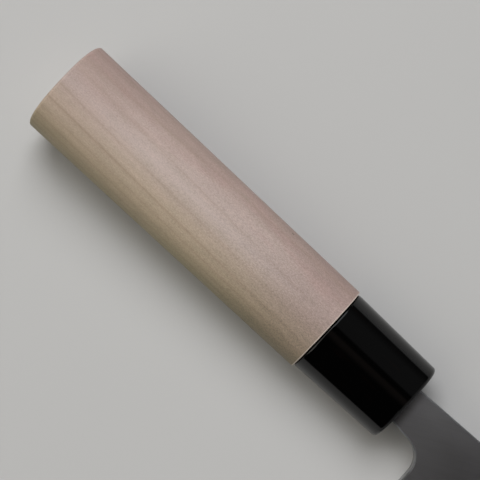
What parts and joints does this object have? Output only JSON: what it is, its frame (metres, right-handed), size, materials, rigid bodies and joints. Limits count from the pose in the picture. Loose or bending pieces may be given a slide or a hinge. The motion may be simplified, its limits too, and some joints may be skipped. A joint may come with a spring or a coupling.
{
  "type": "deba knife",
  "caption": "Kitchen knife with a deep, thick single-bevel blade of two steel layers and an oval wooden handle with a black ferrule, for cutting fish and splitting bone.",
  "frame": {"origin": "middle of the butt end, on the handle's axis", "axes": "+X along the handle's axis to the blade, +Y to the spine, +Z out of the bevelled face"},
  "size_m": [0.2864, 0.0552, 0.0226],
  "materials": {
    "handle_wood": "bare straight-grained wood, sanded smooth",
    "ferrule_resin": "glossy black",
    "cladding_steel": "satin, fine hairlines",
    "core_steel": "fine satin, brighter towards the edge",
    "bedding_resin": "cured resin"
  },
  "bodies": {
    "root": {"wooden_grip": "handle_wood", "ferrule": "ferrule_resin", "blade_cladding": "cladding_steel", "blade_core": "core_steel", "tang_bedding": "bedding_resin"}
  },
  "joints": []
}
